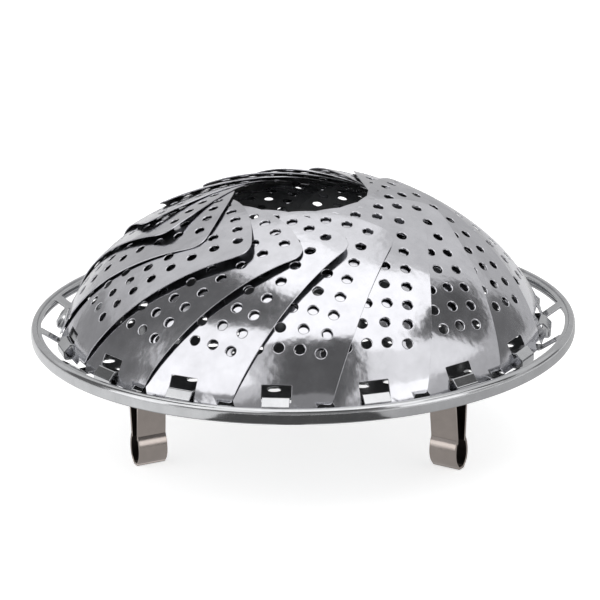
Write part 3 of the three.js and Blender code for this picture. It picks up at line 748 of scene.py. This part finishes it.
def slot_outline(start, end):
    """A slot between two spokes: arcs along its inner and outer sides, joined by rounded corners."""
    near, far = (
        plan(radius, np.linspace(
            start + SPOKE_WIDTH / 2 / radius, end - SPOKE_WIDTH / 2 / radius, SLOT_ARC_POINTS))
        for radius in (SLOT_INNER_RADIUS, SLOT_OUTER_RADIUS))
    turn = rounded_box([near[0], near[-1], far[-1], far[0]], SLOT_CORNER, CORNER_STEPS)
    loop = [turn[0], near[1:-1], turn[1], turn[2], far[-2:0:-1], turn[3]]
    return stepped(np.concatenate(loop), SLOT_STEP)


def plate_hole_centres():
    """Rings of holes with nearly equal spacing, and one in the middle."""
    rings = [np.zeros((1, 2))]
    for index, radius in enumerate(BASE_HOLE_RINGS):
        count = int(round(2 * math.pi * radius / BASE_HOLE_SPACING))
        rings.append(plan(radius, 2 * math.pi * (np.arange(count) + 0.5 * (index % 2)) / count))
    return np.concatenate(rings)


def plate_blank():
    """The punched plate out to the end of its flange."""
    first = math.radians(FIRST_PETAL_AZIMUTH + SPOKE_OFFSET)
    bars = first + PETAL_PITCH * np.arange(PETAL_COUNT + 1)
    slots = [slot_outline(a, b) for a, b in zip(bars[:-1], bars[1:])]
    outline = circle(FLANGE_END_RADIUS, RIM_STEPS)
    centres = plate_hole_centres()
    grid = np.arange(-PLATE_GRID_REACH, PLATE_GRID_REACH, PLATE_GRID)
    x, y = np.meshgrid(grid, grid)
    disc = np.stack([x.ravel(), y.ravel()], axis=1)
    disc = disc[np.hypot(disc[:, 0], disc[:, 1]) < SLOT_INNER_RADIUS - PLATE_GRID_MARGIN]
    disc = disc[clear_of(disc, centres, BASE_HOLE_RADIUS + HOLE_ROLL + EDGE_CLEARANCE)]
    first_radius = SLOT_INNER_RADIUS + SPOKE_GRID_START
    last_radius = SLOT_OUTER_RADIUS - SPOKE_GRID_END
    radius, across = np.meshgrid(np.arange(first_radius, last_radius, SPOKE_GRID), SPOKE_GRID_ACROSS)
    spokes = np.concatenate([
        plan(radius.ravel(), bar + across.ravel() / radius.ravel()) for bar in bars[:-1]])
    fill = np.concatenate([disc, spokes])
    return Blank(
        BASE_SHEET, outline, slots, centres, BASE_HOLE_RADIUS, BASE_HOLE_SIDES, fill, open_edge=True)


def rim_bead(shell):
    """The rolled rim: a profile of the sheet's two faces, turned round the middle.

    From the flange it dips into a groove, rises over the bead, drops as a skirt and curls in."""
    half = BASE_SHEET / 2
    outer = RIM_RADIUS - RIM_INSET - half
    bottom = RIM_HEIGHT - BEAD_DEPTH + half
    top = RIM_HEIGHT - half
    corners = np.concatenate([
        np.array(GROOVE_OFFSETS) + (FLANGE_END_RADIUS, FLANGE_Z),
        np.array(BEAD_OFFSETS) + (outer, top),
        np.array(CURL_OFFSETS) + (outer, bottom)])
    path = smooth_path(corners, RIM_SPAN_STEPS)
    along = unit(np.gradient(path, axis=0))
    facing = np.stack([-along[:, 1], along[:, 0]], axis=1)
    facing[0] = (0.0, 1.0)
    end = along[-1]
    section = np.concatenate([
        path + facing * half, [path[-1] + end * half * CURL_END_SHARE], (path - facing * half)[::-1]])
    normal = np.concatenate([facing, [end], -facing[::-1]])
    angle = 2 * math.pi * np.arange(RIM_STEPS) / RIM_STEPS
    ray = np.stack([np.cos(angle), np.sin(angle)], axis=1)
    flat = section[:, None, :1] * ray[None, :, :]
    points = np.concatenate([flat, np.broadcast_to(section[:, None, 1:], flat.shape[:2] + (1,))], axis=2)
    turned = normal[:, None, :1] * ray[None, :, :]
    normals = np.concatenate([turned, np.broadcast_to(normal[:, None, 1:], flat.shape[:2] + (1,))], axis=2)
    reach = np.cumsum(np.linalg.norm(np.diff(section, axis=0, prepend=section[:1]), axis=1))
    around = np.broadcast_to(angle * RIM_RADIUS, flat.shape[:2])
    spread = np.stack([np.broadcast_to(reach[:, None], flat.shape[:2]), around], axis=2)
    shell.add(points.reshape(-1, 3), normals.reshape(-1, 3),
              [quads(len(section), RIM_STEPS, True)], spread.reshape(-1, 2))


def tongue(shell, azimuth):
    """A tongue of the plate that runs out from the disc, turns up and folds back over a hinge strip.

    Its outer side is upright below and leans back at half a right angle above."""
    start = (SLOT_INNER_RADIUS - TONGUE_ROOT - HINGE_RADIUS, -CURL_RADIUS)
    heel = (CURL_RADIUS, -CURL_RADIUS)
    elbow = (CURL_RADIUS, TONGUE_ELBOW)
    crease = (TONGUE_CREASE, TONGUE_ELBOW + CURL_RADIUS - TONGUE_CREASE)
    end = (-CURL_RADIUS, crease[1] - TONGUE_END_DROP)
    path = np.concatenate([
        [start], rounded_corner(start, heel, elbow, TONGUE_BEND, HEEL_STEPS),
        rounded_corner(heel, elbow, crease, TONGUE_FOLD, CORNER_STEPS),
        rounded_corner(elbow, crease, end, TONGUE_FOLD, CORNER_STEPS), [end]])
    parts, normals, faces = carried_strip(
        path + (HINGE_RADIUS, HINGE_Z), TONGUE_WIDTH, BASE_SHEET, TONGUE_EDGE_ROUND)
    shell.add(to_azimuth(azimuth, parts[:, 0], parts[:, 2], parts[:, 1]),
              to_azimuth(azimuth, normals[:, 0], normals[:, 2], normals[:, 1]), faces)


def lug_blank():
    """An ear that carries a leg's pin, as (sideways, up): square at the plate, round below, one hole."""
    low = arc_points((PIN_SIDE, PIN_Z), LUG_HALF_WIDTH, np.linspace(180, 360, LUG_ARC_POINTS))
    top = DISC_Z - LUG_TOP_DROP
    outline = np.concatenate([low, [(PIN_SIDE + LUG_HALF_WIDTH, top), (PIN_SIDE - LUG_HALF_WIDTH, top)]])
    hole = np.array([(PIN_SIDE, PIN_Z)])
    hole_radius = PIN_RADIUS + RUNNING_GAP - HOLE_ROLL
    fill = hole + (0.0, LUG_FILL_UP)
    return Blank(LUG_THICKNESS, outline, [], hole, hole_radius, LUG_HOLE_SIDES, fill)


def lug_surface(azimuth, radius):
    """An upright plane square to the plate's radius."""
    return lambda side, up: to_azimuth(azimuth, np.full_like(side, radius), side, up)


plate_shell = Shell()
plate_blank().press(plate_shell, plate_surface)
rim_bead(plate_shell)
for number in range(PETAL_COUNT):
    tongue(plate_shell, math.radians(FIRST_PETAL_AZIMUTH) + number * PETAL_PITCH)
lug = lug_blank()
leg_azimuths = np.radians(FIRST_LEG_AZIMUTH + 360 / LEG_COUNT * np.arange(LEG_COUNT))
for azimuth in leg_azimuths:
    lug.press(plate_shell, lug_surface(azimuth, LEG_RADIUS - LUG_OFFSET))
    lug.press(plate_shell, lug_surface(azimuth, LEG_RADIUS + LUG_OFFSET))
plate = placed("pressed_base_plate", plate_shell, PLATE_STEEL, PLATE_STEEL)
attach(plate, "base")
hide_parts("base_plate")


# Legs
def leg_path():
    """The bent strip as (sideways, up): eye round the pin, arm, bulb foot, arm, flat stop pad.

    The bulb's sides are quarter ellipses, a low one under its widest place and a high one over it."""
    half = LEG_SHEET / 2
    eye = arc_points((PIN_SIDE, PIN_Z), EYE_RADIUS, np.linspace(EYE_START, EYE_END, EYE_POINTS))
    neck = math.acos(NECK_HALF_WIDTH / BULB_HALF_WIDTH)
    turn = np.concatenate([np.radians(BULB_LOW_ANGLES), np.linspace(0, neck, BULB_POINTS)])
    reach = np.where(turn < 0, BULB_MIDDLE - half, BULB_RISE)
    bulb = np.stack([BULB_HALF_WIDTH * np.cos(turn), BULB_MIDDLE + reach * np.sin(turn)], axis=1)
    above = np.array(NECK_OFFSETS) + (NECK_HALF_WIDTH, bulb[-1, 1])
    right = np.concatenate([[(FOOT_HALF_FLAT, half)], bulb, above])
    pad = DISC_UNDERSIDE - RUNNING_GAP - half
    top = np.array(STOP_OFFSETS) + (ARM_TOP_HALF_WIDTH, pad)
    corners = np.concatenate([eye, right[::-1] * (-1, 1), right, top])
    return np.maximum(smooth_path(corners, LEG_SPAN_STEPS), (-np.inf, half))


parts, normals, faces = carried_strip(leg_path(), LEG_WIDTH, LEG_SHEET, LEG_EDGE_ROUND)
for number, azimuth in enumerate(leg_azimuths, 1):
    shell = Shell()
    # The broad side on the strip's left, inside the hairpin, takes the inside steel, whose dark colour is
    # painted shade
    shell.add(to_azimuth(azimuth, LEG_RADIUS + parts[:, 2], parts[:, 0], parts[:, 1]),
              to_azimuth(azimuth, normals[:, 2], normals[:, 0], normals[:, 1]), faces, sides=[1, 0, 0, 0])
    leg = placed(f"bent_leg_{number}", shell, LEG_STEEL, LEG_INSIDE_PAINTED_SHADE)
    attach(leg, f"leg_{number}")
    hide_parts(f"leg_{number}")
    pin_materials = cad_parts[f"leg_pin_{number}"].data.materials
    pin_materials.clear()
    pin_materials.append(PIN_STEEL)


# Studio, in metres: a white floor and world, and cards that the camera sees only in the metal
def panel(name, points):
    """One flat face through the points, as part of the stage."""
    mesh = bpy.data.meshes.new(name)
    mesh.from_pydata(points, [], [tuple(range(len(points)))])
    card = bpy.data.objects.new(name, mesh)
    bpy.context.scene.collection.objects.link(card)
    return card


def flat_card(name, centre, aim, width, height):
    """A flat rectangle that faces a point."""
    centre, aim = Vector(centre), Vector(aim)
    turn = (aim - centre).to_track_quat("Z", "Y").to_matrix()
    corners = [(-0.5, -0.5), (0.5, -0.5), (0.5, 0.5), (-0.5, 0.5)]
    return panel(name, [tuple(centre + turn @ Vector((x * width, y * height, 0))) for x, y in corners])


def show_only_reflected(card, level):
    """Makes a card glow evenly and keeps it out of the camera's sight."""
    material = bpy.data.materials.new(card.name)
    tree = empty_tree(material)
    glow = add_node(tree, "ShaderNodeEmission", {"Color": (1, 1, 1, 1), "Strength": level})
    add_node(tree, "ShaderNodeOutputMaterial", {"Surface": glow.outputs["Emission"]})
    card.data.materials.append(material)
    card.visible_camera = False
    card.visible_shadow = False


def overhead_card(name, height, corners, level):
    """A flat panel under the ceiling, as its corners' angles from straight above, right and front.

    A corner lies out from above the object by the height times the tangent of its angle."""
    angles = np.radians(np.array(corners, float))
    tilt = np.hypot(angles[:, 0], angles[:, 1])
    reach = height * np.tan(tilt) / tilt
    points = np.stack([angles[:, 0] * reach, -angles[:, 1] * reach, np.full(len(angles), height)], axis=1)
    show_only_reflected(panel(name, points.tolist()), level)


def floor_fan(name, first, last, radius, height, level):
    """A panel just over the floor, seen only in the metal: a sector between two azimuths in degrees."""
    arc = plan(radius, np.radians(np.linspace(first, last, FAN_POINTS)))
    card = panel(name, [(0.0, 0.0, height)] + [(x, y, height) for x, y in arc.tolist()])
    show_only_reflected(card, level)
    card.visible_diffuse = False


def white_floor():
    """A pale floor: white where the camera sees it, with the object's soft shadow."""
    floor = flat_card("pale_floor", (0, 0, 0), (0, 0, 1), FLOOR_WIDTH, FLOOR_WIDTH)
    material = bpy.data.materials.new("pale_paper")
    tree = empty_tree(material)
    matt = add_node(tree, "ShaderNodeBsdfDiffuse", {"Color": srgb("#f4f4f4")})
    path = add_node(tree, "ShaderNodeLightPath")
    level = add_node(tree, "ShaderNodeMath", {
        0: path.outputs["Is Camera Ray"], 1: FLOOR_GLOW}, operation="MULTIPLY")
    glow = add_node(tree, "ShaderNodeEmission", {"Color": (1, 1, 1, 1), "Strength": level.outputs[0]})
    both = add_node(tree, "ShaderNodeAddShader", {0: matt.outputs[0], 1: glow.outputs[0]})
    add_node(tree, "ShaderNodeOutputMaterial", {"Surface": both.outputs[0]})
    floor.data.materials.append(material)


def white_world():
    """White where the camera or a reflection sees it, and a dimmer even light elsewhere."""
    world = bpy.data.worlds.new("white_studio")
    tree = empty_tree(world)
    path = add_node(tree, "ShaderNodeLightPath")
    seen = add_node(tree, "ShaderNodeMath", {
        0: path.outputs["Is Camera Ray"], 1: path.outputs["Is Glossy Ray"]}, operation="MAXIMUM")
    level = add_node(tree, "ShaderNodeMapRange", {
        "Value": seen.outputs[0], "To Min": WORLD_LIGHT, "To Max": 1.0})
    light = add_node(tree, "ShaderNodeBackground", {
        "Color": (1, 1, 1, 1), "Strength": level.outputs["Result"]})
    add_node(tree, "ShaderNodeOutputWorld", {"Surface": light.outputs["Background"]})
    bpy.context.scene.world = world


white_floor()
white_world()
# Reflectors overhead give the petals their pale areas, and flags their dark ones:
# name, height, level, corners as angles
for name, height, level, corners in (
        ("grey_ceiling", 1.90, 0.72, [(-50, -50), (50, -50), (50, 50), (-50, 50)]),
        ("back_reflector", 1.60, 1.05, [(-28, -34), (-10, -44), (9, -34), (9, -10), (-22, -5)]),
        ("left_reflector", 1.57, 1.35, [(-66, 2), (-18, 2), (-16, 52), (-52, 52)]),
        ("right_reflector", 1.55, 1.05, [(20, 12), (45, 2), (68, -3), (62, 30), (56, 50), (20, 54)]),
        ("overhead_soft_box", 1.50, 1.45, [
            (-20, -26), (-8, -30), (-2, -13), (38, -11), (37, 28), (-14, 29)]),
        ("left_flag", 1.46, 0.15, [
            (-70, -32), (-27, -33), (-26, -22), (-20, -9), (-18, 4),
            (-24, 14), (-35, 9), (-35, -2), (-44, -8), (-68, -3)]),
        ("right_flag", 1.44, 0.12, [
            (37, -19), (44, -25), (60, -14), (66, -4), (56, 1), (44, 3), (39, 22), (34, 20), (33, 2)]),
        ("front_flag", 1.42, 0.12, [
            (-10, 29), (7, 27), (24, 26), (34, 48), (38, 62), (-14, 62), (-12, 45)])):
    overhead_card(name, height, corners, level)

# Walls, lights and flags at the sides, for the steep feet of the petals, the rim and the legs:
# name, centre, height of the place that it faces, width, height, level
for name, centre, aim_height, width, height, level in (
        ("back_wall", (0, 3, 1.5), 1.5, 10, 3.0, 0.55),
        ("left_wall", (-5, 0, 1.5), 1.5, 10, 3.0, 0.55),
        ("right_wall", (5, 0, 1.5), 1.5, 10, 3.0, 0.55),
        ("front_wall", (0, -4, 1.0), 1.0, 10, 2.0, 0.30),
        ("left_low_card", (-2.2, -0.76, 0.55), 0.55, 1.2, 1.0, 1.5),
        ("right_low_card", (1.76, -1.32, 0.55), 0.55, 1.2, 1.0, 1.5),
        ("right_wall_flag", (3.9, 2.25, 1.1), 0.05, 1.8, 1.4, 0.18),
        ("left_wall_flag", (-4.4, 0.7, 0.9), 0.05, 2.4, 1.7, 0.18),
        ("back_left_flag", (-2.9, 2.6, 0.5), 0.05, 2.6, 1.1, 0.33)):
    show_only_reflected(flat_card(name, centre, (0, 0, aim_height), width, height), level)

# Tones of the floor as the rim and the legs mirror it:
# name, first and last azimuth, radius, height, level
for name, first, last, radius, height, level in (
        ("front_floor_flag", -28, 24, 0.6, 0.0004, 0.10),
        ("right_floor_flag", 24, 170, 0.25, 0.0004, 0.55),
        ("left_floor_reflector", -150, -28, 0.25, 0.0004, 0.90),
        ("floor_shade", 0, 352, 0.072, 0.0008, 0.44)):
    floor_fan(name, first, last, radius, height, level)

# Camera
elevation = math.radians(CAMERA_ELEVATION)
rim_centre = Vector((0, 0, RIM_HEIGHT))
towards = Vector((0, -math.cos(elevation), math.sin(elevation)))
camera_up = Vector((0, math.sin(elevation), math.cos(elevation)))
aim = rim_centre + Vector((CAMERA_AIM_SIDEWAYS, 0, 0)) + camera_up * CAMERA_AIM_UP
eye = rim_centre + towards * CAMERA_DISTANCE
turn = (aim - eye).to_track_quat("-Z", "Y").to_matrix().to_4x4()
lens = bpy.data.cameras.new("camera")
lens.lens = CAMERA_LENS
lens.sensor_width = SENSOR_WIDTH
lens.clip_start = NEAR_CLIP
lens.clip_end = FAR_CLIP
camera = bpy.data.objects.new("camera", lens)
roll = Matrix.Rotation(math.radians(CAMERA_ROLL), 4, "Z")
camera.matrix_world = Matrix.Translation(eye * MM) @ turn @ roll
bpy.context.scene.collection.objects.link(camera)
bpy.context.scene.camera = camera
bpy.context.scene.view_settings.view_transform = "Standard"
